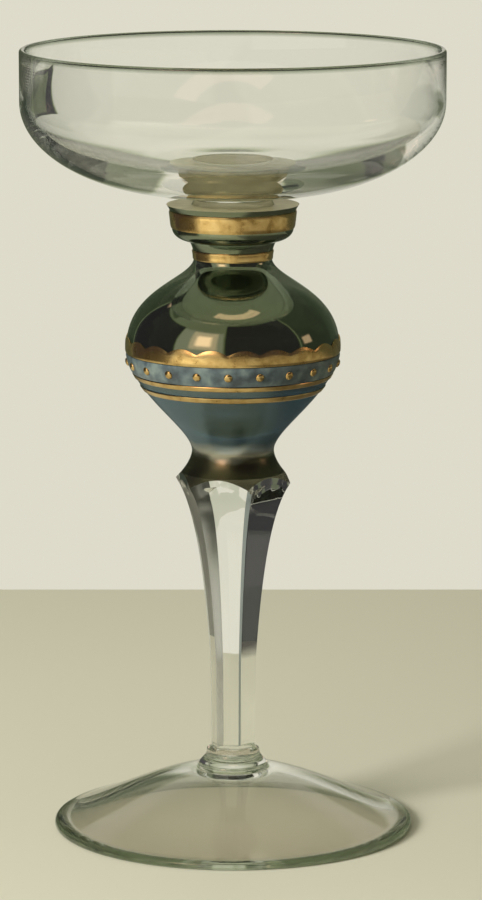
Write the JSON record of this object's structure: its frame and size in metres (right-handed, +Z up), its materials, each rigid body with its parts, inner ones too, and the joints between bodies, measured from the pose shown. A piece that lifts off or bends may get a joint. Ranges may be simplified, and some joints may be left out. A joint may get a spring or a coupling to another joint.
{
  "type": "cocktail glass",
  "caption": "Stemmed cocktail glass: shallow clear bowl, green hollow knop with gilt and enamel bands, clear cut six-sided stem and conical foot.",
  "frame": {"origin": "centre of the ring on which the foot stands, in the plane of the table", "axes": "+Z up along the glass's axis, from the foot to the rim; -Y is the side that faces the picture's camera"},
  "size_m": [0.094, 0.094, 0.1756],
  "materials": {
    "crystal": "clear, blown and fire-polished, the stem cut and polished",
    "green_glass": "deep olive green, blown, glossy",
    "gilding": "fired-on gold, burnished, slightly uneven",
    "enamel": "fired blue-grey enamel, satin"
  },
  "bodies": {
    "root": {"foot": "crystal", "foot_collar": "crystal", "stem": "crystal", "lower_collar": "green_glass", "bowl_button": "crystal", "bowl": "crystal", "knop": "green_glass", "upper_collar": "green_glass", "gilt_line_lower": "gilding", "gilt_line_upper": "gilding", "belly_gilt_band": "gilding", "neck_gilt_ring": "gilding", "collar_gilt_band": "gilding", "frieze_enamel": "enamel", "frieze_dot_01": "gilding", "frieze_dot_02": "gilding", "frieze_dot_03": "gilding", "frieze_dot_04": "gilding", "frieze_dot_05": "gilding", "frieze_dot_06": "gilding", "frieze_dot_07": "gilding", "frieze_dot_08": "gilding", "frieze_dot_09": "gilding", "frieze_dot_10": "gilding", "frieze_dot_11": "gilding", "frieze_dot_12": "gilding", "frieze_dot_13": "gilding", "frieze_dot_14": "gilding", "frieze_dot_15": "gilding", "frieze_dot_16": "gilding", "frieze_dot_17": "gilding", "frieze_dot_18": "gilding", "frieze_dot_19": "gilding", "frieze_dot_20": "gilding", "frieze_dot_21": "gilding"}
  },
  "joints": []
}
